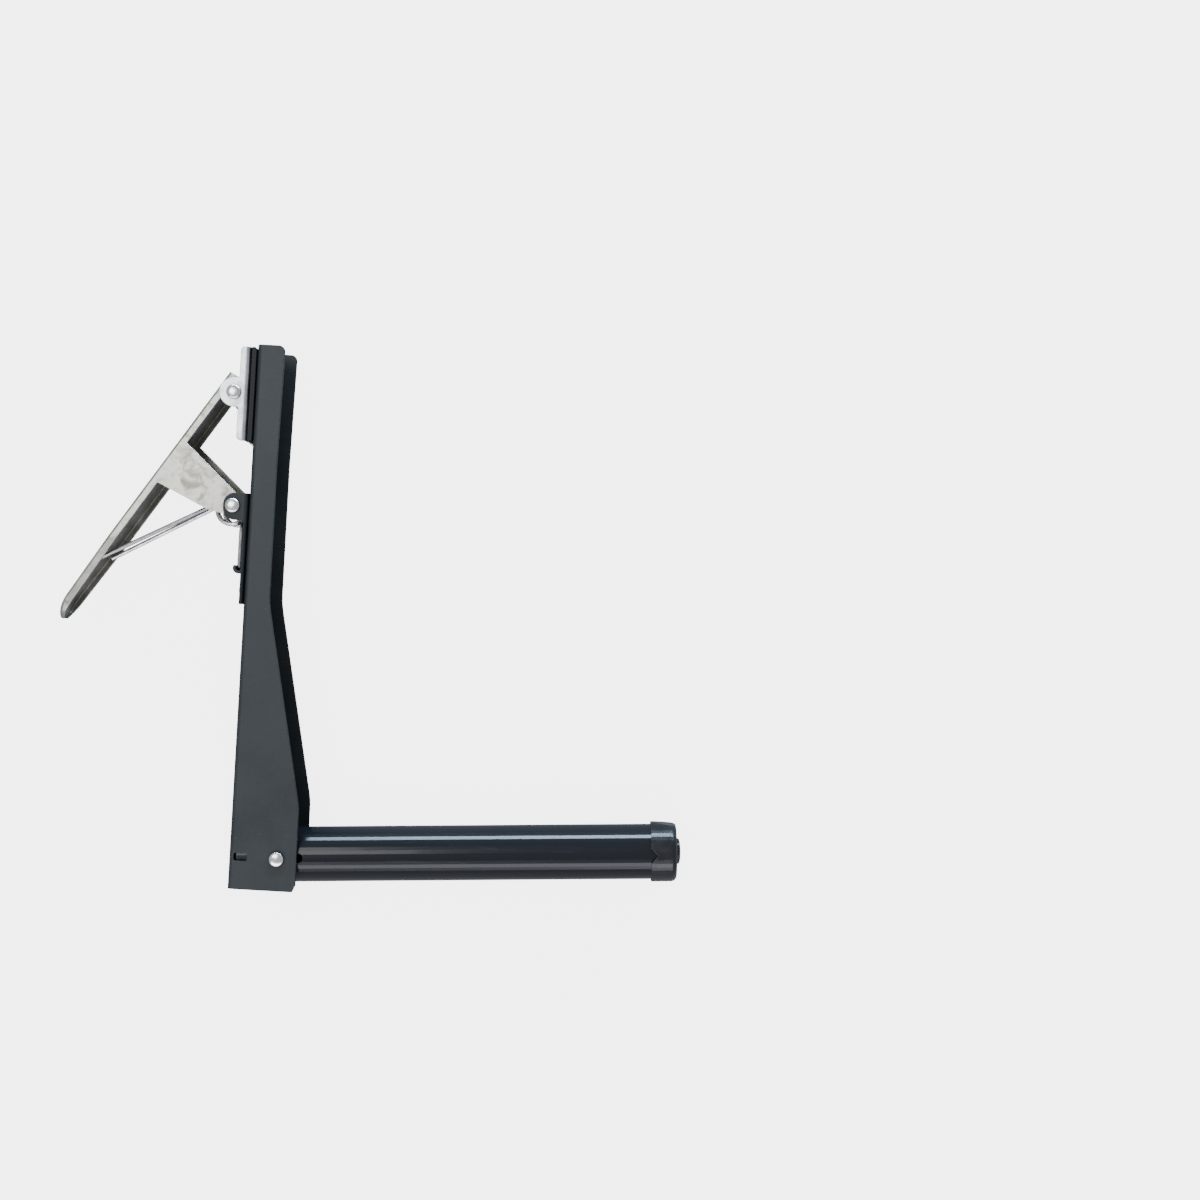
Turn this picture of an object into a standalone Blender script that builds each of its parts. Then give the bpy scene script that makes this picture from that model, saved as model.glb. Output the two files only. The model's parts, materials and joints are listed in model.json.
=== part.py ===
"""Table tennis net clamp: a sprung jaw that grips the table edge, and the post that carries the net.

Run with: blender --background --python part.py
Units are metres. The clamp lies on its side. Places on it are given by two distances: "rise",
measured up the post from the arm's table face (negative on the jaw side), and "along", measured
along the arm from its clamp end. +X is rise, +Y is against along, and +Z runs across the clamp.
"""

import math

import bmesh
import bpy
from mathutils import Matrix, Vector

ARC_STEP = math.radians(12)
ROUND_SEGMENTS = 48
RIVET_SEGMENTS = 24
PIN_HOLE_SEGMENTS = 32
SMOOTH_ANGLE = math.radians(32)
GAP = 0.0003
CUT_OVERRUN = 0.004
EDGE_BREAK = 0.00015
THIN_EDGE_BREAK = 0.0001
UNCUT_DEPTH = 0.012

# Arm: a pressed steel channel, open towards the post side.
ARM_LENGTH = 0.186
ARM_WIDTH = 0.0218
ARM_SHEET = 0.0012
ARM_BEND = 0.0020
ARM_CLAMP_RISE = 0.0095
ARM_WAIST_RISE = 0.0089
ARM_WAIST_ALONG = 0.040
ARM_KINK_RISE = 0.0090
ARM_KINK_ALONG = 0.088
ARM_KINK_ROUNDING = 0.030
ARM_DEEP_RISE = 0.0230
ARM_DEEP_ALONG = 0.157
ARM_DEEP_ROUNDING = 0.020
ARM_END_RISE = 0.0233
ARM_CLAMP_CORNER = 0.0020
ARM_CHAMFER = (0.0010, 0.0024)
# The table face is kept in separate stretches under the jaw, before the bracket, under it and beyond it.
ARM_FACE_SPLITS = (0.0345, 0.0500, 0.0905)
ARM_SLOT_RISE = (0.0018, 0.0063)
ARM_SLOT_ALONG = 0.1749
ARM_SLOT_WIDTH = 0.00275
ARM_SLOT_CORNER = 0.0006

# Pivot bracket: a folded plate against the table face, with two ears and a curl for the spring.
BRACKET_ALONG = (0.0509, 0.0889)
BRACKET_SHEET = 0.0010
BRACKET_BEND = 0.0013
BRACKET_LIP = 0.0001
EAR_ALONG = (0.0510, 0.0603)
EAR_RISE = -0.00855
EAR_CORNER = 0.0040
EAR_ROOT_CORNER = 0.0008
HOOK_INNER = 0.00090
HOOK_OUTER = 0.0019
HOOK_WIDTH = 0.0208
HOOK_START = math.radians(-8)
HOOK_END = math.radians(-212)
BRACKET_RIVETS = ((0.0690, 0.0034), (0.0690, -0.0034), (0.0840, 0.0060), (0.0840, -0.0060))

# Pins and rivets: domed at both ends.
PIVOT = (-0.0053, 0.0554)
JAW_PIVOT = (-0.0072, 0.0166)
POST_RIVET = (0.0165, 0.1750)
PIN_RADIUS = 0.0015
PIN_HEAD_RADIUS = 0.0025
PIN_HEAD_HEIGHT = 0.0012
SMALL_RIVET_RADIUS = 0.0012
SMALL_HEAD_RADIUS = 0.0022
SMALL_HEAD_HEIGHT = 0.0009

# Lever: a plated steel channel with its web outwards, deep side plates at the pivot and a curled tip.
LEVER_START = (-0.0094, 0.00955)
LEVER_ANGLE = math.radians(33.45)
LEVER_SHEET = 0.0009
LEVER_BEND = 0.0012
LEVER_HALF_WIDTH = 0.0090
LEVER_LIP = 0.0029
LEVER_END_LIP = 0.0036
LEVER_STRAIGHT = 0.0949
LEVER_TAPER_START = 0.070
LEVER_TIP_HALF_WIDTH = 0.0070
LEVER_CURL_RADIUS = 0.0205
LEVER_CURL_ANGLE = math.radians(26)
LEVER_TIP_ROUNDING = 0.93
LEVER_CURL_STEPS = 9
LEVER_END_LIP_DEPTH = 0.00135
LEVER_JAW_LUG = 0.0032
LEVER_JAW_LUG_FOOT = 0.0007
LEVER_LEAST_FLAT = 0.0001
LEVER_LEAST_INNER_BEND = 0.0002
LEVER_PIVOT_LUG = 0.0037
SIDE_PLATE_START = 0.0283
SIDE_PLATE_CORNER = (0.0424, 0.0223)
SIDE_PLATE_END = 0.0452

# Jaw: a plated tray whose lugs hang outside the lever, with a rubber pad under it.
JAW_ALONG = (0.0009, 0.0331)
JAW_HALF_WIDTH = 0.01035
JAW_SHEET = 0.0010
JAW_BEND = 0.0018
JAW_WEB_RISE = -0.0021
JAW_LIP_RISE = -0.0056
JAW_LUG_RADIUS = 0.00505
JAW_CORNER = 0.0015
JAW_LUG_ROOT_CORNER = 0.0005
PAD_THICKNESS = 0.0015
PAD_CORNER = 0.0008

# Torsion spring: two coils round the pivot pin, joined by a bar that the bracket's curl holds.
WIRE_RADIUS = 0.000725
COIL_CENTRE = (-0.0070, 0.0570)
COIL_RADIUS = 0.0047
COIL_STEP = math.radians(20)
COIL_FULL_TURNS = 2
COIL_LEVER_Z = 0.0030
COIL_ARM_Z = 0.0069
SPRING_SPLAY_ALONG = (0.0600, 0.0640)
SPRING_SPLAY_STEPS = 4
SPRING_LEG_Z = 0.0092
SPRING_TIP_Z = 0.0063
SPRING_BAR_ALONG = 0.0766
SPRING_BAR_CORNER = 0.0013
SPRING_LEG_REACH = 0.078
SPRING_LEG_DEPTH = 0.0020

# Post: a steel tube that leans back over the table, with a plug in its foot and a moulded cap.
POST_LEAN = math.radians(3.7)
TUBE_RADIUS = 0.0095
TUBE_WALL = 0.0010
TUBE_FOOT = -0.0143
TUBE_TOP = 0.1305
TUBE_HOLE_HEIGHT = 0.0069
TUBE_HOLE_RADIUS = 0.0016
PLUG_FOOT = -0.0140
PLUG_TOP = 0.0045
PLUG_CHAMFER = 0.0012
CAP_RADIUS = 0.0104
CAP_FOOT = 0.1279
CAP_TOP = 0.1368
CAP_FILLET = 0.0020
CAP_ROOF = 0.0019
CAP_INNER_RADIUS = 0.0075
CAP_STUD_HOLE = 0.0028
CAP_SLOPE = 0.0012
CAP_NOTCH_DEPTH = 0.0024
CAP_NOTCH_WIDTH = 0.0050
STUD_RADIUS = 0.0044
STUD_DOME = 0.0012
STUD_STEM_RADIUS = 0.0025
STUD_STEM_FOOT = 0.1335


# ---------------------------------------------------------------- plane outlines

def to_plane(place):
    """The (x, y) of a (rise, along) place."""
    rise, along = place
    return Vector((rise, -along))


def arc(centre, radius, start, end):
    """Points of a circular arc, both ends included."""
    count = max(2, round(abs(end - start) / ARC_STEP))
    angles = [start + (end - start) * index / count for index in range(count + 1)]
    return [Vector((centre[0] + radius * math.cos(a), centre[1] + radius * math.sin(a))) for a in angles]


def rounded(corners):
    """A closed outline from (x, y, radius) corners, each rounded by its own radius."""
    points = []
    for index, (x, y, radius) in enumerate(corners):
        corner = Vector((x, y))
        if radius == 0:
            points.append(corner)
            continue
        before = (Vector(corners[index - 1][:2]) - corner).normalized()
        after = (Vector(corners[(index + 1) % len(corners)][:2]) - corner).normalized()
        half_angle = before.angle(after) / 2
        setback = radius / math.tan(half_angle)
        centre = corner + (before + after).normalized() * (radius / math.sin(half_angle))
        first = corner + before * setback - centre
        sweep = math.pi - 2 * half_angle
        turn = math.copysign(sweep, first.cross(corner + after * setback - centre))
        start = math.atan2(first.y, first.x)
        points.extend(arc(centre, radius, start, start + turn))
    return points


def plane_corners(places):
    """Corners of an outline given as (rise, along, radius)."""
    return [(*to_plane(place[:2]), place[2]) for place in places]


def channel_section(half_width, depth, sheet, bend):
    """A U-shaped section as (depth, across) points, web at depth 0 and both legs reaching to depth."""
    inner = bend - sheet
    outside = [Vector((depth, half_width))]
    outside += arc((bend, half_width - bend), bend, math.pi / 2, math.pi)
    inside = [Vector((depth, half_width - sheet))]
    inside += arc((bend, half_width - bend), inner, math.pi / 2, math.pi)
    right = outside + [Vector((p.x, -p.y)) for p in reversed(outside)]
    left = inside + [Vector((p.x, -p.y)) for p in reversed(inside)]
    return right + left[::-1]


# ---------------------------------------------------------------- solids

def new_object(name, bm, parent):
    """An object from a bmesh given in the clamp's own frame, hung under its parent empty."""
    bmesh.ops.recalc_face_normals(bm, faces=bm.faces)
    mesh = bpy.data.meshes.new(name)
    bm.to_mesh(mesh)
    bm.free()
    mesh.shade_smooth()
    mesh.set_sharp_from_angle(angle=SMOOTH_ANGLE)
    obj = bpy.data.objects.new(name, mesh)
    bpy.context.scene.collection.objects.link(obj)
    obj.parent = parent
    return obj


def prism(name, outline, low, high, parent):
    """An outline in the XY plane, extruded from low to high along Z."""
    bm = bmesh.new()
    face = bm.faces.new([bm.verts.new((p[0], p[1], low)) for p in outline])
    extruded = bmesh.ops.extrude_face_region(bm, geom=[face])["geom"]
    moved = [item for item in extruded if isinstance(item, bmesh.types.BMVert)]
    bmesh.ops.translate(bm, verts=moved, vec=(0, 0, high - low))
    return new_object(name, bm, parent)


def loft(name, rings, parent):
    """A closed solid through rings of matching points, flat at both ends."""
    bm = bmesh.new()
    loops = [[bm.verts.new(point) for point in ring] for ring in rings]
    count = len(loops[0])
    for near, far in zip(loops, loops[1:]):
        for index in range(count):
            after = (index + 1) % count
            bm.faces.new((near[index], near[after], far[after], far[index]))
    bm.faces.new(loops[0])
    bm.faces.new(loops[-1])
    return new_object(name, bm, parent)


def turned(name, profile, segments, parent):
    """A solid of revolution about Z, from a closed (radius, height) profile."""
    bm = bmesh.new()
    verts = [bm.verts.new((radius, 0, height)) for radius, height in profile]
    edges = [bm.edges.new((a, b)) for a, b in zip(verts, verts[1:])]
    if profile[0][0] > 0:
        edges.append(bm.edges.new((verts[-1], verts[0])))
    bmesh.ops.spin(bm, geom=verts + edges, axis=(0, 0, 1), cent=(0, 0, 0), angle=math.tau,
                   steps=segments, use_merge=True, use_duplicate=False)
    bmesh.ops.remove_doubles(bm, verts=bm.verts, dist=1e-7)
    return new_object(name, bm, parent)


def combine(obj, tool, operation):
    """Adds a Boolean of the hidden tool to the object."""
    tool.hide_render = True
    tool.display_type = "WIRE"
    modifier = obj.modifiers.new(tool.name, "BOOLEAN")
    modifier.operation = operation
    modifier.object = tool


def drill(obj, radius, low, high, place, parent):
    """Drills a hole along the parent's Z at a place in its XY plane."""
    outline = [(place[0] + radius * math.cos(math.tau * index / PIN_HOLE_SEGMENTS),
                place[1] + radius * math.sin(math.tau * index / PIN_HOLE_SEGMENTS))
               for index in range(PIN_HOLE_SEGMENTS)]
    count = len(obj.modifiers)
    combine(obj, prism(f"{obj.name}_hole_{count}", outline, low, high, parent), "DIFFERENCE")


def break_edges(obj, width=EDGE_BREAK):
    """Takes the sharpness off the object's edges."""
    bevel = obj.modifiers.new("edge_break", "BEVEL")
    bevel.width = width
    bevel.segments = 1
    bevel.limit_method = "ANGLE"
    bevel.angle_limit = math.radians(50)
    bevel.use_clamp_overlap = True


def move_origin(obj, axis):
    """Hangs an object made in the clamp's frame under an axis empty, with its origin on the axis."""
    obj.data.transform(Matrix.Translation(-axis_place(axis)))
    obj.parent = axis


def axis_place(axis):
    """Where an axis empty stands in the clamp's frame."""
    place = Vector(axis.location)
    if axis.parent is not None and axis.parent.name != "clamp_frame":
        place += axis_place(axis.parent)
    return place


def empty(name, parent, location=(0, 0, 0)):
    """An empty to hang parts on."""
    obj = bpy.data.objects.new(name, None)
    bpy.context.scene.collection.objects.link(obj)
    obj.parent = parent
    obj.location = location
    return obj


def paint(obj, colour, metallic, roughness):
    """Gives the object its own Principled material."""
    material = bpy.data.materials.new(f"{obj.name}_finish")
    material.use_nodes = True
    shader = material.node_tree.nodes["Principled BSDF"]
    shader.inputs["Base Color"].default_value = (*colour, 1)
    shader.inputs["Metallic"].default_value = metallic
    shader.inputs["Roughness"].default_value = roughness
    obj.data.materials.append(material)


GUNMETAL_PAINT = ((0.060, 0.069, 0.075), 0.35, 0.45)
BLACK_STEEL = ((0.022, 0.023, 0.025), 0.4, 0.38)
NICKEL_PLATE = ((0.60, 0.60, 0.56), 1.0, 0.30)
ZINC_PLATE = ((0.66, 0.67, 0.68), 1.0, 0.24)
BRIGHT_STEEL = ((0.72, 0.72, 0.72), 1.0, 0.20)
SPRING_STEEL = ((0.55, 0.55, 0.56), 1.0, 0.25)
BLACK_RUBBER = ((0.018, 0.018, 0.018), 0.0, 0.75)
GLOSS_BLACK = ((0.010, 0.010, 0.012), 0.0, 0.16)
BLACK_PLASTIC = ((0.015, 0.015, 0.016), 0.0, 0.28)


# ---------------------------------------------------------------- sheet metal parts

def folded(name, side_outline, web_rise, depth_sign, depth, section, along, parent):
    """A channel along Y, cut to a side outline: web face at web_rise, legs going depth_sign in X."""
    half_width, sheet, bend = section
    points = channel_section(half_width, depth, sheet, bend)
    rings = [[(web_rise + depth_sign * p.x, -distance, p.y) for p in points] for distance in along]
    body = loft(name, rings, parent)
    tall = half_width + CUT_OVERRUN
    combine(body, prism(f"{name}_side", rounded(side_outline), -tall, tall, parent), "INTERSECT")
    return body


def make_arm(frame):
    chamfer_rise, chamfer_along = ARM_CHAMFER
    outline = plane_corners((
        (-CUT_OVERRUN, 0, 0),
        (ARM_CLAMP_RISE, 0, ARM_CLAMP_CORNER),
        (ARM_WAIST_RISE, ARM_WAIST_ALONG, 0),
        (ARM_KINK_RISE, ARM_KINK_ALONG, ARM_KINK_ROUNDING),
        (ARM_DEEP_RISE, ARM_DEEP_ALONG, ARM_DEEP_ROUNDING),
        (ARM_END_RISE, ARM_LENGTH - chamfer_along, 0),
        (ARM_END_RISE - chamfer_rise, ARM_LENGTH, 0),
        (-CUT_OVERRUN, ARM_LENGTH, 0),
    ))
    section = (ARM_WIDTH / 2, ARM_SHEET, ARM_BEND)
    folds = (-CUT_OVERRUN, *ARM_FACE_SPLITS, ARM_LENGTH + CUT_OVERRUN)
    arm = folded("arm_channel", outline, 0, 1, ARM_END_RISE + CUT_OVERRUN, section, folds, frame)
    tall = ARM_WIDTH / 2 + CUT_OVERRUN
    drill(arm, PIN_RADIUS + GAP, -tall, tall, to_plane(POST_RIVET), frame)
    half_slot = ARM_SLOT_WIDTH / 2
    slot = rounded(plane_corners((
        (ARM_SLOT_RISE[0], ARM_SLOT_ALONG - half_slot, ARM_SLOT_CORNER),
        (ARM_SLOT_RISE[1], ARM_SLOT_ALONG - half_slot, ARM_SLOT_CORNER),
        (ARM_SLOT_RISE[1], ARM_SLOT_ALONG + half_slot, ARM_SLOT_CORNER),
        (ARM_SLOT_RISE[0], ARM_SLOT_ALONG + half_slot, ARM_SLOT_CORNER),
    )))
    combine(arm, prism("arm_slot", slot, 0, tall, frame), "DIFFERENCE")
    for number, (along, across) in enumerate(BRACKET_RIVETS, 1):
        combine(arm, rivet_bore(f"arm_rivet_bore_{number}", along, across, frame), "DIFFERENCE")
    paint(arm, *GUNMETAL_PAINT)


def rivet_bore(name, along, across, frame):
    """A cutter across the arm's web and the bracket's plate."""
    bore = turned(name, cylinder(SMALL_RIVET_RADIUS + GAP, -CUT_OVERRUN, CUT_OVERRUN), RIVET_SEGMENTS, frame)
    bore.location = (0, -along, across)
    bore.rotation_euler = (0, math.pi / 2, 0)
    return bore


def make_bracket(frame):
    foot = -GAP
    lip = foot - BRACKET_SHEET - BRACKET_LIP
    outline = plane_corners((
        (CUT_OVERRUN, BRACKET_ALONG[0], 0),
        (EAR_RISE, EAR_ALONG[0], EAR_CORNER),
        (EAR_RISE, EAR_ALONG[1], EAR_CORNER),
        (lip, EAR_ALONG[1], EAR_ROOT_CORNER),
        (lip, BRACKET_ALONG[1], 0),
        (CUT_OVERRUN, BRACKET_ALONG[1], 0),
    ))
    section = (ARM_WIDTH / 2, BRACKET_SHEET, BRACKET_BEND)
    ends = (BRACKET_ALONG[0] - CUT_OVERRUN, BRACKET_ALONG[1] + CUT_OVERRUN)
    bracket = folded("pivot_bracket", outline, foot, -1, UNCUT_DEPTH, section, ends, frame)
    combine(bracket, make_hook(frame), "UNION")
    tall = ARM_WIDTH / 2 + CUT_OVERRUN
    drill(bracket, PIN_RADIUS + GAP, -tall, tall, to_plane(PIVOT), frame)
    for number, (along, across) in enumerate(BRACKET_RIVETS, 1):
        combine(bracket, rivet_bore(f"bracket_rivet_bore_{number}", along, across, frame), "DIFFERENCE")
    paint(bracket, *BLACK_STEEL)


def make_hook(frame):
    """The curl, bent up out of the bracket's plate, that holds the spring's bar down."""
    centre = to_plane((COIL_CENTRE[0] + COIL_RADIUS, SPRING_BAR_ALONG))
    outer = arc(centre, HOOK_OUTER, HOOK_START, HOOK_END)
    inner = arc(centre, HOOK_INNER, HOOK_END, HOOK_START)
    return prism("hook_curl", outer + inner, -HOOK_WIDTH / 2, HOOK_WIDTH / 2, frame)


def lever_edge():
    """(distance, depth) points of the lever's free edge, from the jaw end to the curl."""
    jaw = lever_coordinates(JAW_PIVOT)
    pivot = lever_coordinates(PIVOT)
    points = [(0, LEVER_END_LIP)]
    points += lug_edge(jaw, LEVER_JAW_LUG)
    points += [(jaw[0] + LEVER_JAW_LUG + LEVER_JAW_LUG_FOOT, LEVER_LIP), (SIDE_PLATE_START, LEVER_LIP)]
    points += lug_edge(pivot, LEVER_PIVOT_LUG)
    points += [SIDE_PLATE_CORNER, (SIDE_PLATE_END, LEVER_LIP)]
    points += [(LEVER_TAPER_START, LEVER_LIP), (LEVER_STRAIGHT, LEVER_LIP)]
    return points


def lug_edge(centre, radius):
    """The half circle of a lug's free edge about a pin."""
    return [(p.x, p.y) for p in arc(centre, radius, math.pi, 0)]


def lever_coordinates(place):
    """(distance along the lever, depth towards the arm) of a (rise, along) place."""
    offset = to_plane(place) - to_plane(LEVER_START)
    return offset.dot(lever_direction()), offset.dot(lever_inward())


def lever_direction():
    return Vector((-math.sin(LEVER_ANGLE), -math.cos(LEVER_ANGLE)))


def lever_inward():
    return Vector((math.cos(LEVER_ANGLE), -math.sin(LEVER_ANGLE)))


def lever_stations():
    """(position, inward direction, half width, depth) of each section of the lever."""
    start = to_plane(LEVER_START)
    stations = []
    for distance, depth in lever_edge():
        taper = max(0, distance - LEVER_TAPER_START) / (LEVER_STRAIGHT - LEVER_TAPER_START)
        half_width = LEVER_HALF_WIDTH + (LEVER_TIP_HALF_WIDTH - LEVER_HALF_WIDTH) * taper
        stations.append((start + lever_direction() * distance, lever_inward(), half_width, depth))
    curl_start = stations[-1][0]
    for step in range(1, LEVER_CURL_STEPS + 1):
        share = math.sin(math.pi / 2 * step / LEVER_CURL_STEPS)
        turn = LEVER_CURL_ANGLE * share
        offset = (lever_direction() * math.sin(turn) + lever_inward() * (1 - math.cos(turn)))
        inward = lever_inward() * math.cos(turn) - lever_direction() * math.sin(turn)
        half_width = LEVER_TIP_HALF_WIDTH * math.sqrt(1 - LEVER_TIP_ROUNDING * share ** 2)
        depth = LEVER_LIP + (LEVER_END_LIP_DEPTH - LEVER_LIP) * share ** 2
        stations.append((curl_start + offset * LEVER_CURL_RADIUS, inward, half_width, depth))
    return stations


def make_lever(frame, lever_axis):
    rings = []
    for place, inward, half_width, depth in lever_stations():
        bend = min(LEVER_BEND, depth - LEVER_LEAST_FLAT)
        sheet = min(LEVER_SHEET, bend - LEVER_LEAST_INNER_BEND)
        section = channel_section(half_width, depth, sheet, bend)
        rings.append([(*(place + inward * p.x), p.y) for p in section])
    lever = loft("lever", rings, frame)
    for pin in (PIVOT, JAW_PIVOT):
        drill(lever, PIN_RADIUS + GAP, -JAW_HALF_WIDTH, JAW_HALF_WIDTH, to_plane(pin), frame)
    move_origin(lever, lever_axis)
    break_edges(lever, THIN_EDGE_BREAK)
    paint(lever, *NICKEL_PLATE)


def make_jaw_plate(frame, jaw_axis):
    lug_low = JAW_PIVOT[1] - JAW_LUG_RADIUS
    lug_high = JAW_PIVOT[1] + JAW_LUG_RADIUS
    lug_top = JAW_PIVOT[0] - JAW_LUG_RADIUS
    outline = plane_corners((
        (JAW_WEB_RISE + CUT_OVERRUN, JAW_ALONG[0], 0),
        (JAW_LIP_RISE, JAW_ALONG[0], JAW_CORNER),
        (JAW_LIP_RISE, lug_low, JAW_LUG_ROOT_CORNER),
        (lug_top, lug_low, JAW_LUG_RADIUS * 0.999),
        (lug_top, lug_high, JAW_LUG_RADIUS * 0.999),
        (JAW_LIP_RISE, lug_high, JAW_LUG_ROOT_CORNER),
        (JAW_LIP_RISE, JAW_ALONG[1], JAW_CORNER),
        (JAW_WEB_RISE + CUT_OVERRUN, JAW_ALONG[1], 0),
    ))
    section = (JAW_HALF_WIDTH, JAW_SHEET, JAW_BEND)
    ends = (JAW_ALONG[0] - CUT_OVERRUN, JAW_ALONG[1] + CUT_OVERRUN)
    jaw = folded("jaw_plate", outline, JAW_WEB_RISE, -1, UNCUT_DEPTH, section, ends, frame)
    tall = JAW_HALF_WIDTH + CUT_OVERRUN
    drill(jaw, PIN_RADIUS + GAP, -tall, tall, to_plane(JAW_PIVOT), frame)
    move_origin(jaw, jaw_axis)
    break_edges(jaw, THIN_EDGE_BREAK)
    paint(jaw, *ZINC_PLATE)


def make_jaw_pad(frame, jaw_axis):
    top = JAW_WEB_RISE + GAP
    face = top + PAD_THICKNESS
    outline = rounded(plane_corners((
        (top, JAW_ALONG[0], 0),
        (face, JAW_ALONG[0], PAD_CORNER),
        (face, JAW_ALONG[1], PAD_CORNER),
        (top, JAW_ALONG[1], 0),
    )))
    pad = prism("jaw_pad", outline, -JAW_HALF_WIDTH, JAW_HALF_WIDTH, frame)
    move_origin(pad, jaw_axis)
    break_edges(pad)
    paint(pad, *BLACK_RUBBER)


# ---------------------------------------------------------------- pins and spring

def cylinder(radius, low, high):
    return [(0, low), (radius, low), (radius, high), (0, high)]


def domed_pin(name, half_grip, radius, head_radius, head_height, parent):
    """A pin with a domed head at each end, across a grip of twice half_grip."""
    rim = head_height * 0.3
    dome = head_height - rim
    quarter = [(head_radius * math.cos(a), half_grip + rim + dome * math.sin(a))
               for a in (math.pi / 2 * step / 6 for step in range(7))]
    upper = [(radius, half_grip), (head_radius, half_grip)] + quarter[:-1] + [(0, quarter[-1][1])]
    lower = [(r, -z) for r, z in reversed(upper)]
    pin = turned(name, lower + upper, RIVET_SEGMENTS, parent)
    paint(pin, *BRIGHT_STEEL)
    return pin


def make_pins(frame, lever_axis):
    arm_grip = ARM_WIDTH / 2 + GAP
    pivot_pin = domed_pin("pivot_pin", arm_grip, PIN_RADIUS, PIN_HEAD_RADIUS, PIN_HEAD_HEIGHT, frame)
    pivot_pin.location = (*to_plane(PIVOT), 0)
    post_rivet = domed_pin("post_rivet", arm_grip, PIN_RADIUS, PIN_HEAD_RADIUS, PIN_HEAD_HEIGHT, frame)
    post_rivet.location = (*to_plane(POST_RIVET), 0)
    jaw_grip = JAW_HALF_WIDTH + GAP
    jaw_pin = domed_pin("jaw_pin", jaw_grip, PIN_RADIUS, PIN_HEAD_RADIUS, PIN_HEAD_HEIGHT, lever_axis)
    jaw_pin.location = (*(to_plane(JAW_PIVOT) - to_plane(PIVOT)), 0)
    half_grip = (ARM_SHEET + BRACKET_SHEET + 3 * GAP) / 2
    middle = (ARM_SHEET - BRACKET_SHEET - GAP) / 2
    for number, (along, across) in enumerate(BRACKET_RIVETS, 1):
        rivet = domed_pin(f"bracket_rivet_{number}", half_grip, SMALL_RIVET_RADIUS, SMALL_HEAD_RADIUS,
                          SMALL_HEAD_HEIGHT, frame)
        rivet.location = (middle, -along, across)
        rivet.rotation_euler = (0, math.pi / 2, 0)


def spring_half(side):
    """Points of one half of the wire, from the free end on the lever to the middle of the bar."""
    centre = to_plane(COIL_CENTRE)
    target = (to_plane(LEVER_START) + lever_direction() * SPRING_LEG_REACH
              + lever_inward() * SPRING_LEG_DEPTH)
    reach = target - centre
    leave = math.atan2(reach.y, reach.x) - math.acos(COIL_RADIUS / reach.length) + math.tau
    turn = leave + COIL_FULL_TURNS * math.tau
    count = round(turn / COIL_STEP)
    points = [(*target, side * SPRING_TIP_Z)]
    for step in range(count + 1):
        angle = turn * (1 - step / count)
        z = COIL_ARM_Z + (COIL_LEVER_Z - COIL_ARM_Z) * angle / turn
        points.append((centre.x + COIL_RADIUS * math.cos(angle),
                       centre.y + COIL_RADIUS * math.sin(angle), side * z))
    bar_x = centre.x + COIL_RADIUS
    for step in range(SPRING_SPLAY_STEPS + 1):
        share = step / SPRING_SPLAY_STEPS
        ease = share * share * (3 - 2 * share)
        along = SPRING_SPLAY_ALONG[0] + (SPRING_SPLAY_ALONG[1] - SPRING_SPLAY_ALONG[0]) * share
        points.append((bar_x, -along, side * (COIL_ARM_Z + (SPRING_LEG_Z - COIL_ARM_Z) * ease)))
    corner_y = -SPRING_BAR_ALONG + SPRING_BAR_CORNER
    for step in range(5):
        angle = math.pi / 2 * step / 4
        points.append((bar_x, corner_y - SPRING_BAR_CORNER * math.sin(angle),
                       side * (SPRING_LEG_Z - SPRING_BAR_CORNER * (1 - math.cos(angle)))))
    return points


def make_spring(frame):
    points = spring_half(1) + spring_half(-1)[::-1]
    curve = bpy.data.curves.new("torsion_spring", "CURVE")
    curve.dimensions = "3D"
    curve.bevel_depth = WIRE_RADIUS
    curve.bevel_resolution = 2
    curve.use_fill_caps = True
    spline = curve.splines.new("POLY")
    spline.points.add(len(points) - 1)
    for item, point in zip(spline.points, points):
        item.co = (*point, 1)
    spline.use_smooth = True
    spring = bpy.data.objects.new("torsion_spring", curve)
    bpy.context.scene.collection.objects.link(spring)
    spring.parent = frame
    paint(spring, *SPRING_STEEL)


# ---------------------------------------------------------------- post

def make_tube(post):
    inner = TUBE_RADIUS - TUBE_WALL
    profile = [(TUBE_RADIUS, TUBE_FOOT), (TUBE_RADIUS, TUBE_TOP), (inner, TUBE_TOP), (inner, TUBE_FOOT)]
    tube = turned("post_tube", profile, ROUND_SEGMENTS, post)
    combine(tube, cross_bore("tube_rivet_bore", PIN_RADIUS + GAP, 0, -1, post), "DIFFERENCE")
    hole = cross_bore("tube_side_bore", TUBE_HOLE_RADIUS, TUBE_HOLE_HEIGHT, 0, post)
    combine(tube, hole, "DIFFERENCE")
    break_edges(tube)
    paint(tube, *GLOSS_BLACK)


def cross_bore(name, radius, height, start_sign, post):
    """A cutter across the post, from the axis or from beyond its far side."""
    reach = TUBE_RADIUS + CUT_OVERRUN
    bore = turned(name, cylinder(radius, start_sign * reach, reach), PIN_HOLE_SEGMENTS, post)
    bore.location = (0, 0, height)
    bore.rotation_euler = (0, math.pi / 2, 0)
    return bore


def make_plug(post):
    radius = TUBE_RADIUS - TUBE_WALL - GAP
    profile = [
        (0, PLUG_FOOT),
        (radius, PLUG_FOOT),
        (radius, PLUG_TOP - PLUG_CHAMFER),
        (radius - PLUG_CHAMFER, PLUG_TOP),
        (0, PLUG_TOP),
    ]
    plug = turned("post_plug", profile, ROUND_SEGMENTS, post)
    combine(plug, cross_bore("plug_rivet_bore", PIN_RADIUS + GAP, 0, -1, post), "DIFFERENCE")
    paint(plug, *BLACK_PLASTIC)


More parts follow.
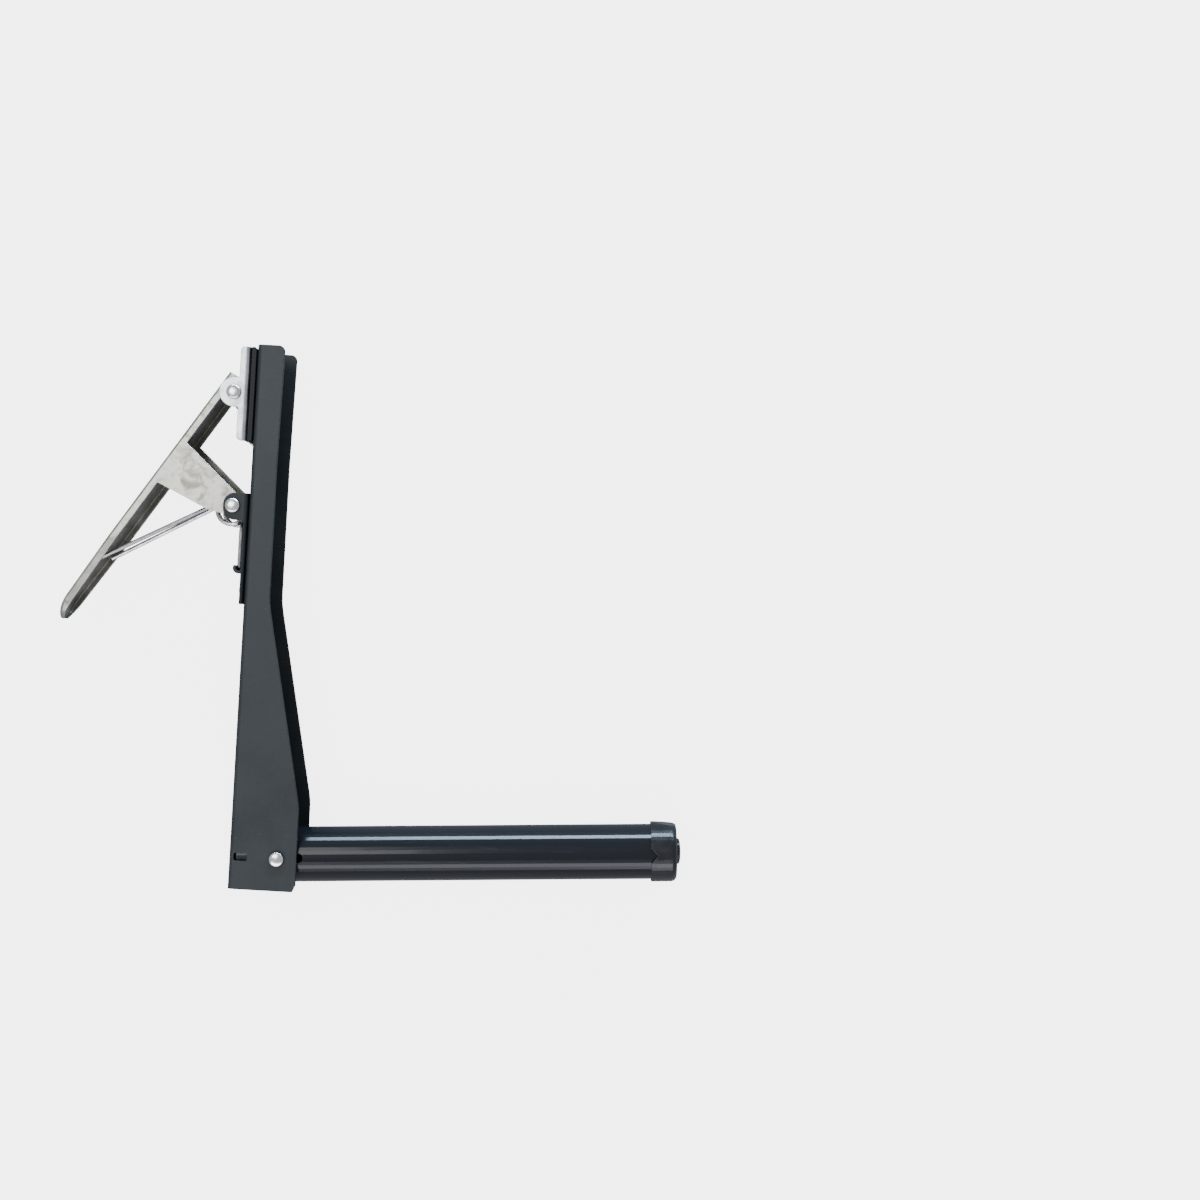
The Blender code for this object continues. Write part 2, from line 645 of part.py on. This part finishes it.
def make_cap(post):
    bore = TUBE_RADIUS + GAP
    shelf = TUBE_TOP + GAP
    fillet = [(p.x, p.y) for p in arc((CAP_RADIUS - CAP_FILLET, CAP_TOP - CAP_FILLET), CAP_FILLET,
                                      0, math.pi / 2)]
    profile = [(CAP_RADIUS, CAP_FOOT)] + fillet + [
        (CAP_STUD_HOLE, CAP_TOP),
        (CAP_STUD_HOLE, CAP_TOP - CAP_ROOF),
        (CAP_INNER_RADIUS, CAP_TOP - CAP_ROOF),
        (CAP_INNER_RADIUS, shelf),
        (bore, shelf),
        (bore, CAP_FOOT),
    ]
    cap = turned("post_cap", profile, ROUND_SEGMENTS, post)
    half_notch = CAP_NOTCH_WIDTH / 2
    notch = prism("cap_notch", [(-half_notch, 0), (half_notch, 0), (0, CAP_NOTCH_DEPTH)],
                  0, CAP_RADIUS + CUT_OVERRUN, post)
    notch.matrix_local = Matrix(((0, 0, 1, 0), (1, 0, 0, 0), (0, 1, 0, CAP_FOOT), (0, 0, 0, 1)))
    combine(cap, notch, "DIFFERENCE")
    wide = 2 * CAP_RADIUS
    beyond = CAP_TOP + CUT_OVERRUN
    outline = [(-CAP_RADIUS, CAP_FOOT), (-CAP_RADIUS + CAP_SLOPE, CAP_TOP), (-CAP_RADIUS + CAP_SLOPE, beyond),
               (-wide, beyond), (-wide, CAP_FOOT)]
    slope = prism("cap_slope", outline, -wide, wide, post)
    slope.matrix_local = Matrix(((0, 0, 1, 0), (1, 0, 0, 0), (0, 1, 0, 0), (0, 0, 0, 1)))
    combine(cap, slope, "DIFFERENCE")
    break_edges(cap)
    paint(cap, *BLACK_PLASTIC)


def make_stud(post):
    foot = CAP_TOP + GAP
    dome = [(STUD_RADIUS * math.cos(a), foot + STUD_DOME * (0.35 + 0.65 * math.sin(a)))
            for a in (math.pi / 2 * step / 7 for step in range(7))]
    profile = [(0, STUD_STEM_FOOT), (STUD_STEM_RADIUS, STUD_STEM_FOOT), (STUD_STEM_RADIUS, foot),
               (STUD_RADIUS, foot)] + dome + [(0, foot + STUD_DOME)]
    stud = turned("cap_stud", profile, ROUND_SEGMENTS, post)
    paint(stud, *BLACK_PLASTIC)


# ---------------------------------------------------------------- assembly

def clear_scene():
    for obj in list(bpy.data.objects):
        bpy.data.objects.remove(obj)


def rest_on_origin(frame):
    """Moves the clamp so that the middle of its box's underside is the origin."""
    bpy.context.view_layer.update()
    graph = bpy.context.evaluated_depsgraph_get()
    points = []
    for obj in bpy.data.objects:
        if obj.type == "EMPTY" or obj.hide_render:
            continue
        part = obj.evaluated_get(graph)
        points += [part.matrix_world @ vertex.co for vertex in part.to_mesh().vertices]
        part.to_mesh_clear()
    low = [min(point[axis] for point in points) for axis in range(3)]
    high = [max(point[axis] for point in points) for axis in range(3)]
    frame.location = (-(low[0] + high[0]) / 2, -(low[1] + high[1]) / 2, -low[2])


def main():
    clear_scene()
    frame = empty("clamp_frame", None)
    lever_axis = empty("lever_axis", frame, (*to_plane(PIVOT), 0))
    jaw_axis = empty("jaw_axis", lever_axis, (*(to_plane(JAW_PIVOT) - to_plane(PIVOT)), 0))
    post = empty("post_axis", frame)
    lean = Matrix(((0, math.sin(POST_LEAN), math.cos(POST_LEAN)),
                   (0, -math.cos(POST_LEAN), math.sin(POST_LEAN)),
                   (1, 0, 0)))
    post.matrix_local = Matrix.Translation((*to_plane(POST_RIVET), 0)) @ lean.to_4x4()
    make_arm(frame)
    make_bracket(frame)
    make_lever(frame, lever_axis)
    make_jaw_plate(frame, jaw_axis)
    make_jaw_pad(frame, jaw_axis)
    make_pins(frame, lever_axis)
    make_spring(frame)
    make_tube(post)
    make_plug(post)
    make_cap(post)
    make_stud(post)
    rest_on_origin(frame)


main()
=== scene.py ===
"""Looks of the table tennis net clamp.

Finishes for its CAD parts, its spring wire, and the floor, lights and camera. Units are metres.
"""

import json
import math

import bpy
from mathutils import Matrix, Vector

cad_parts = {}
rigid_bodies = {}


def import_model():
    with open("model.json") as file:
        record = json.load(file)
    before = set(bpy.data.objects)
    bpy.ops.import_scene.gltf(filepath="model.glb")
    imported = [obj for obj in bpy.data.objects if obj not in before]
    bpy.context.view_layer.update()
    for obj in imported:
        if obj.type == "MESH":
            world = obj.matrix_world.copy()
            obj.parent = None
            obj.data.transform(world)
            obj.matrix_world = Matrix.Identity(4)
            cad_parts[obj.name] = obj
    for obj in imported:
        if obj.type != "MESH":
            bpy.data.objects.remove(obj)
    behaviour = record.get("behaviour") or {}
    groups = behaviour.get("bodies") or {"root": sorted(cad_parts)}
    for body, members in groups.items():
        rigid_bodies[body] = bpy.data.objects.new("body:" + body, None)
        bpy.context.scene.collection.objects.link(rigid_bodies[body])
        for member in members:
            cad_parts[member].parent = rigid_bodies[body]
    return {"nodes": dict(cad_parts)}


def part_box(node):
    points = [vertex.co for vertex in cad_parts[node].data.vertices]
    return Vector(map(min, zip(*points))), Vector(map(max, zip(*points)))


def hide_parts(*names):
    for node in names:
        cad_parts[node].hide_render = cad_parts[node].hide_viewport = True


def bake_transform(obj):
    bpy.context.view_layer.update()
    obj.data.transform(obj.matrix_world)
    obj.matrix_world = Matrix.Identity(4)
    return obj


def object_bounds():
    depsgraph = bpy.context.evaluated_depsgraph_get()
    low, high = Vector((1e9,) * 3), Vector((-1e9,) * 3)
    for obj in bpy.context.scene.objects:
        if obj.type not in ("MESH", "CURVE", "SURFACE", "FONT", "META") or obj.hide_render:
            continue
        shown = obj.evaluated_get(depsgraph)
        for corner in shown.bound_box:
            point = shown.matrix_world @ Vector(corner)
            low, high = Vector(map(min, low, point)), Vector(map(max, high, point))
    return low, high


# Camera: straight above the clamp's middle plane, turned a little in its own plane.
CAMERA_HEIGHT = 0.529
CAMERA_TURN = math.radians(3.27)
CAMERA_LENS = 45.6
CAMERA_SENSOR = 36.0
CAMERA_FROM_ARM_FACE = 0.12157
CAMERA_FROM_CLAMP_END = 0.08046

# The floor is grey to the clamp's reflections and near white to the camera.
FLOOR_SIZE = 6.0
FLOOR_COLOUR = (0.34, 0.34, 0.35, 1)
FLOOR_GLOW_COLOUR = (1.0, 1.0, 1.0, 1)
FLOOR_ROUGHNESS = 0.9
FLOOR_GLOW_IN_VIEW = 4.5
WORLD_COLOUR = (1.0, 1.0, 1.0, 1)
WORLD_STRENGTH = 0.55

# Each light's name, offset from the clamp's middle, (width, height), watts and colour.
LIGHTS = (
    ("clamp_end_light", (0.1, 0.95, 0.26), (1.2, 0.12), 24, (0.58, 0.77, 1.0)),
    ("post_end_light", (-0.1, -0.75, 0.62), (1.3, 0.45), 9, (0.88, 0.90, 1.0)),
    ("overhead_light", (-0.35, 0.2, 0.9), (0.5, 0.5), 4, (1.0, 1.0, 1.0)),
)

EDGE_RADIUS = 0.00035
FINE_EDGE_RADIUS = 0.0002
WIRE_EDGE_RADIUS = 0.0001
RUBBER_EDGE_RADIUS = 0.0003
MOULDED_EDGE_RADIUS = 0.0004
EDGE_SAMPLES = 6
RECESS_SAMPLES = 6


# ---------------------------------------------------------------- node building

class Finish:
    """A Principled material with the few node chains that the clamp's finishes share."""

    def __init__(self, name, metallic=0.0, specular=0.5, coat=0.0, coat_roughness=0.1):
        self.material = bpy.data.materials.new(name)
        self.material.use_nodes = True
        self.tree = self.material.node_tree
        self.shader = self.tree.nodes["Principled BSDF"]
        self.shader.inputs["Metallic"].default_value = metallic
        self.shader.inputs["Specular IOR Level"].default_value = specular
        self.shader.inputs["Coat Weight"].default_value = coat
        self.shader.inputs["Coat Roughness"].default_value = coat_roughness
        self.place = self.tree.nodes.new("ShaderNodeTexCoord").outputs["Object"]
        self.normal = None

    def link(self, output, target):
        self.tree.links.new(output, target)

    def stretched(self, scale):
        """Object coordinates scaled differently along each axis."""
        node = self.tree.nodes.new("ShaderNodeMapping")
        node.inputs["Scale"].default_value = scale
        self.link(self.place, node.inputs["Vector"])
        return node.outputs["Vector"]

    def noise(self, scale, detail, roughness, vector=None, distortion=0.0):
        node = self.tree.nodes.new("ShaderNodeTexNoise")
        node.inputs["Scale"].default_value = scale
        node.inputs["Detail"].default_value = detail
        node.inputs["Roughness"].default_value = roughness
        node.inputs["Distortion"].default_value = distortion
        self.link(vector or self.place, node.inputs["Vector"])
        return node.outputs["Fac"]

    def span(self, factor, low, high, to_low=0.0, to_high=1.0):
        """The factor's stretch from low to high, mapped to to_low..to_high and held there beyond."""
        node = self.tree.nodes.new("ShaderNodeMapRange")
        node.inputs["From Min"].default_value = low
        node.inputs["From Max"].default_value = high
        node.inputs["To Min"].default_value = to_low
        node.inputs["To Max"].default_value = to_high
        self.link(factor, node.inputs["Value"])
        return node.outputs["Result"]

    def math(self, operation, first, second):
        node = self.tree.nodes.new("ShaderNodeMath")
        node.operation = operation
        self.link(first, node.inputs[0])
        if isinstance(second, float):
            node.inputs[1].default_value = second
        else:
            self.link(second, node.inputs[1])
        return node.outputs["Value"]

    def mix(self, factor, first, second):
        """A colour mix; each colour is an RGB tuple or an output."""
        node = self.tree.nodes.new("ShaderNodeMix")
        node.data_type = "RGBA"
        self.link(factor, node.inputs["Factor"])
        for name, colour in (("A", first), ("B", second)):
            socket = next(s for s in node.inputs if s.name == name and s.type == "RGBA")
            if isinstance(colour, tuple):
                socket.default_value = (*colour, 1)
            else:
                self.link(colour, socket)
        return next(s for s in node.outputs if s.type == "RGBA")

    def soft_edges(self, radius=EDGE_RADIUS):
        """Rounds the shading over sharp edges and returns a mask that is 1 on them."""
        bevel = self.tree.nodes.new("ShaderNodeBevel")
        bevel.samples = EDGE_SAMPLES
        bevel.inputs["Radius"].default_value = radius
        self.normal = bevel.outputs["Normal"]
        facing = self.tree.nodes.new("ShaderNodeVectorMath")
        facing.operation = "DOT_PRODUCT"
        geometry = self.tree.nodes.new("ShaderNodeNewGeometry")
        self.link(bevel.outputs["Normal"], facing.inputs[0])
        self.link(geometry.outputs["Normal"], facing.inputs[1])
        return self.span(facing.outputs["Value"], 0.985, 0.90)

    def recesses(self, reach):
        """A mask that is 1 deep inside folds and corners, within reach of another wall; the finishes paint
        shade with it.
        """
        node = self.tree.nodes.new("ShaderNodeAmbientOcclusion")
        node.samples = RECESS_SAMPLES
        node.inputs["Distance"].default_value = reach
        return self.span(node.outputs["AO"], 0.95, 0.45)

    def bump(self, height, distance, strength):
        node = self.tree.nodes.new("ShaderNodeBump")
        node.inputs["Distance"].default_value = distance
        node.inputs["Strength"].default_value = strength
        self.link(height, node.inputs["Height"])
        if self.normal is not None:
            self.link(self.normal, node.inputs["Normal"])
        self.normal = node.outputs["Normal"]

    def colour(self, output):
        self.link(output, self.shader.inputs["Base Color"])

    def roughness(self, output):
        self.link(output, self.shader.inputs["Roughness"])

    def done(self):
        self.link(self.normal, self.shader.inputs["Normal"])
        return self.material


# ---------------------------------------------------------------- finishes

# Painted shade for folds and corners: its two colours, and how far from another wall it reaches.
PAINTED_RECESS_SHADE_COLOUR = (0.075, 0.070, 0.060)
SHADED_PAINT_COLOUR = (0.005, 0.006, 0.007)
PLATED_FOLD_REACH = 0.02
CHANNEL_FOLD_REACH = 0.03


def satin_paint(name, dark, light, roughness):
    """Stoved paint on pressed steel: faint mottling, scuffs, orange peel, painted shade in the folds and
    rubbed edges.
    """
    finish = Finish(name, specular=0.3)
    edge = finish.soft_edges()
    mottle = finish.span(finish.noise(55, 5, 0.6), 0.35, 0.68)
    grain = finish.span(finish.noise(2600, 3, 0.6), 0.35, 0.70)
    body = finish.mix(mottle, dark, light)
    body = finish.mix(finish.math("MULTIPLY", grain, 0.25), body, tuple(c * 1.6 for c in light))
    scuff = finish.span(finish.noise(150, 6, 0.7, finish.stretched((1, 6, 1))), 0.62, 0.72)
    body = finish.mix(finish.math("MULTIPLY", scuff, 0.18), body, (0.07, 0.075, 0.08))
    # Painted shade: the paint darkens towards SHADED_PAINT_COLOUR deep in folds and corners.
    folds = finish.math("MULTIPLY", finish.recesses(CHANNEL_FOLD_REACH), 0.75)
    body = finish.mix(folds, body, SHADED_PAINT_COLOUR)
    rub = finish.math("MULTIPLY", edge, finish.span(finish.noise(420, 4, 0.6), 0.42, 0.62, 0.0, 0.35))
    finish.colour(finish.mix(rub, body, (0.08, 0.085, 0.09)))
    finish.roughness(finish.span(mottle, 0.0, 1.0, roughness - 0.05, roughness + 0.07))
    finish.bump(finish.noise(1500, 2, 0.5), 0.00003, 0.5)
    return finish.done()


def plated(name, dark, light, stain, roughness, brush, stain_amount, recess_shade):
    """Bright plating over pressed sheet: drawn lines, cloudy tone, dull stains, painted shade in the folds
    and painted highlights on the edges.
    """
    finish = Finish(name, metallic=1.0)
    edge = finish.soft_edges()
    cloud = finish.span(finish.noise(120, 5, 0.62), 0.36, 0.64)
    body = finish.mix(cloud, dark, light)
    lines = finish.noise(700, 3, 0.6, finish.stretched(brush))
    body = finish.mix(finish.span(lines, 0.45, 0.75, 0.0, 0.22), body, tuple(c * 0.62 for c in dark))
    spots = finish.span(finish.noise(170, 6, 0.70, distortion=0.8), 0.50, 0.66)
    body = finish.mix(finish.math("MULTIPLY", spots, stain_amount), body, stain)
    # Painted shade: the plating darkens towards a dark warm grey deep in folds and corners.
    folds = finish.math("MULTIPLY", finish.recesses(PLATED_FOLD_REACH), recess_shade)
    body = finish.mix(folds, body, PAINTED_RECESS_SHADE_COLOUR)
    # Painted highlight: the sharp edges are mixed towards near-white.
    finish.colour(finish.mix(finish.math("MULTIPLY", edge, 0.7), body, (0.86, 0.86, 0.84)))
    worn = finish.math("ADD", finish.span(cloud, 0.0, 1.0, roughness - 0.05, roughness + 0.06),
                       finish.span(spots, 0.0, 1.0, 0.0, 0.16))
    finish.roughness(worn)
    finish.bump(lines, 0.000006, 0.6)
    finish.bump(finish.noise(240, 3, 0.5), 0.00003, 0.35)
    return finish.done()


def rivet_steel(name):
    """Bright peened steel: a cloudy tone and small hammer facets."""
    finish = Finish(name, metallic=1.0)
    finish.soft_edges(FINE_EDGE_RADIUS)
    cloud = finish.span(finish.noise(600, 4, 0.6), 0.35, 0.66)
    finish.colour(finish.mix(cloud, (0.66, 0.67, 0.68), (0.93, 0.94, 0.95)))
    finish.roughness(finish.span(cloud, 0.0, 1.0, 0.26, 0.15))
    finish.bump(finish.noise(900, 2, 0.5), 0.00005, 0.5)
    return finish.done()


def spring_wire(name):
    """Drawn spring wire: a fine even grain under a thin uneven oil film."""
    finish = Finish(name, metallic=1.0, coat=0.2, coat_roughness=0.15)
    finish.soft_edges(WIRE_EDGE_RADIUS)
    film = finish.span(finish.noise(350, 4, 0.6), 0.35, 0.70)
    finish.colour(finish.mix(film, (0.36, 0.36, 0.37), (0.70, 0.70, 0.69)))
    finish.roughness(finish.span(film, 0.0, 1.0, 0.30, 0.20))
    finish.bump(finish.noise(3000, 3, 0.6), 0.00001, 0.5)
    return finish.done()


def rubber(name):
    """Moulded black rubber: matte and finely grained, with a dusty bloom and paler edges."""
    finish = Finish(name, specular=0.3)
    edge = finish.soft_edges(RUBBER_EDGE_RADIUS)
    bloom = finish.span(finish.noise(130, 5, 0.65), 0.45, 0.75)
    body = finish.mix(finish.math("MULTIPLY", bloom, 0.5), (0.006, 0.006, 0.006), (0.020, 0.020, 0.019))
    finish.colour(finish.mix(finish.math("MULTIPLY", edge, 0.35), body, (0.07, 0.07, 0.068)))
    finish.roughness(finish.span(bloom, 0.0, 1.0, 0.62, 0.82))
    finish.bump(finish.noise(2400, 3, 0.65), 0.00006, 0.6)
    return finish.done()


def gloss_black(name):
    """Gloss black enamel on the tube: slight ripple, fine lengthwise hairlines, dust and rubbed ends."""
    finish = Finish(name, specular=0.24, coat=0.12, coat_roughness=0.05)
    edge = finish.soft_edges(FINE_EDGE_RADIUS)
    hairs = finish.span(finish.noise(900, 4, 0.7, finish.stretched((0.04, 1, 1))), 0.60, 0.74)
    dust = finish.span(finish.noise(3200, 2, 0.5), 0.70, 0.78)
    body = finish.mix(finish.math("MULTIPLY", hairs, 0.22), (0.0070, 0.0088, 0.0120), (0.030, 0.034, 0.042))
    body = finish.mix(finish.math("MULTIPLY", dust, 0.3), body, (0.10, 0.10, 0.10))
    finish.colour(finish.mix(finish.math("MULTIPLY", edge, 0.5), body, (0.07, 0.07, 0.075)))
    finish.roughness(finish.span(hairs, 0.0, 1.0, 0.17, 0.32))
    finish.bump(finish.noise(110, 2, 0.5), 0.00008, 0.22)
    return finish.done()


def moulded_black(name, roughness):
    """Moulded black plastic: faint spark texture, flow tone and paler edges."""
    finish = Finish(name, specular=0.4)
    edge = finish.soft_edges(MOULDED_EDGE_RADIUS)
    flow = finish.span(finish.noise(160, 4, 0.6), 0.35, 0.70)
    body = finish.mix(flow, (0.006, 0.0068, 0.0085), (0.012, 0.0135, 0.0165))
    finish.colour(finish.mix(finish.math("MULTIPLY", edge, 0.5), body, (0.06, 0.06, 0.063)))
    finish.roughness(finish.span(flow, 0.0, 1.0, roughness - 0.04, roughness + 0.06))
    finish.bump(finish.noise(2000, 3, 0.6), 0.00002, 0.45)
    return finish.done()


# The lever's drawn lines run across the clamp, and the jaw's run along the arm.
LEVER_BRUSH = (1, 1, 0.15)
JAW_BRUSH = (1, 0.15, 1)

FINISHES = {
    "arm_channel": lambda: satin_paint(
        "arm_paint", dark=(0.0140, 0.0172, 0.0186), light=(0.0210, 0.0250, 0.0268), roughness=0.48),
    "pivot_bracket": lambda: satin_paint(
        "bracket_paint", dark=(0.010, 0.0122, 0.0136), light=(0.0155, 0.0182, 0.0200), roughness=0.52),
    "lever": lambda: plated(
        "lever_nickel", dark=(0.31, 0.31, 0.275), light=(0.48, 0.475, 0.435), stain=(0.22, 0.20, 0.155),
        roughness=0.33, brush=LEVER_BRUSH, stain_amount=0.60, recess_shade=0.42),
    "jaw_plate": lambda: plated(
        "jaw_zinc", dark=(0.43, 0.46, 0.50), light=(0.62, 0.66, 0.71), stain=(0.30, 0.31, 0.33),
        roughness=0.27, brush=JAW_BRUSH, stain_amount=0.35, recess_shade=0.3),
    "jaw_pad": lambda: rubber("pad_rubber"),
    "pivot_pin": lambda: rivet_steel("pivot_pin_steel"),
    "jaw_pin": lambda: rivet_steel("jaw_pin_steel"),
    "post_rivet": lambda: rivet_steel("post_rivet_steel"),
    "torsion_spring": lambda: spring_wire("spring_wire"),
    "post_tube": lambda: gloss_black("tube_enamel"),
    "post_plug": lambda: moulded_black("plug_plastic", 0.45),
    "post_cap": lambda: moulded_black("cap_plastic", 0.26),
    "cap_stud": lambda: moulded_black("stud_plastic", 0.24),
}
BRACKET_RIVET_PREFIX = "bracket_rivet"


def dress(nodes):
    """Gives every CAD node its finish."""
    small_rivets = rivet_steel("bracket_rivet_steel")
    for name, obj in nodes.items():
        material = small_rivets if name.startswith(BRACKET_RIVET_PREFIX) else FINISHES[name]()
        obj.data.materials.clear()
        obj.data.materials.append(material)


# ---------------------------------------------------------------- spring

def make_spring(frame):
    """The wire, held by the arm at the curl, as a fixed copy of the CAD spring, which is hidden."""
    wire = bpy.data.objects.new("spring_wire", frame["nodes"]["torsion_spring"].data.copy())
    bpy.context.scene.collection.objects.link(wire)
    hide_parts("torsion_spring")
    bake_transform(wire)


# ---------------------------------------------------------------- surroundings

def look_at(obj, target):
    obj.rotation_euler = (Vector(target) - obj.location).to_track_quat("-Z", "Y").to_euler()


def soft_light(name, place, target, size, power, colour):
    data = bpy.data.lights.new(name, "AREA")
    data.shape = "RECTANGLE"
    data.size, data.size_y = size
    data.energy = power
    data.color = colour
    light = bpy.data.objects.new(name, data)
    bpy.context.scene.collection.objects.link(light)
    light.location = place
    look_at(light, target)


def make_floor():
    mesh = bpy.data.meshes.new("floor")
    half = FLOOR_SIZE / 2
    corners = [(-half, -half, 0), (half, -half, 0), (half, half, 0), (-half, half, 0)]
    mesh.from_pydata(corners, [], [(0, 1, 2, 3)])
    floor = bpy.data.objects.new("floor", mesh)
    bpy.context.scene.collection.objects.link(floor)
    material = bpy.data.materials.new("pale_floor")
    material.use_nodes = True
    shader = material.node_tree.nodes["Principled BSDF"]
    shader.inputs["Base Color"].default_value = FLOOR_COLOUR
    shader.inputs["Roughness"].default_value = FLOOR_ROUGHNESS
    shader.inputs["Emission Color"].default_value = FLOOR_GLOW_COLOUR
    path = material.node_tree.nodes.new("ShaderNodeLightPath")
    glow = material.node_tree.nodes.new("ShaderNodeMapRange")
    glow.inputs["To Max"].default_value = FLOOR_GLOW_IN_VIEW
    material.node_tree.links.new(path.outputs["Is Camera Ray"], glow.inputs["Value"])
    material.node_tree.links.new(glow.outputs["Result"], shader.inputs["Emission Strength"])
    mesh.materials.append(material)


def make_lights(centre):
    world = bpy.data.worlds.new("studio")
    bpy.context.scene.world = world
    world.use_nodes = True
    background = world.node_tree.nodes["Background"]
    background.inputs["Color"].default_value = WORLD_COLOUR
    background.inputs["Strength"].default_value = WORLD_STRENGTH
    for name, offset, size, power, colour in LIGHTS:
        soft_light(name, centre + Vector(offset), centre, size, power, colour)


def make_camera():
    low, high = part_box("arm_channel")
    middle = (low.z + high.z) / 2
    data = bpy.data.cameras.new("camera")
    data.lens = CAMERA_LENS
    data.sensor_width = CAMERA_SENSOR
    camera = bpy.data.objects.new("camera", data)
    bpy.context.scene.collection.objects.link(camera)
    camera.location = (low.x + CAMERA_FROM_ARM_FACE, high.y - CAMERA_FROM_CLAMP_END, middle + CAMERA_HEIGHT)
    camera.rotation_euler = (0, 0, CAMERA_TURN)
    bpy.context.scene.camera = camera


for leftover in list(bpy.data.objects):
    bpy.data.objects.remove(leftover)
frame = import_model()
cad_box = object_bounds()
dress(frame["nodes"])
make_spring(frame)
make_floor()
make_lights((Vector(cad_box[0]) + Vector(cad_box[1])) / 2)
make_camera()
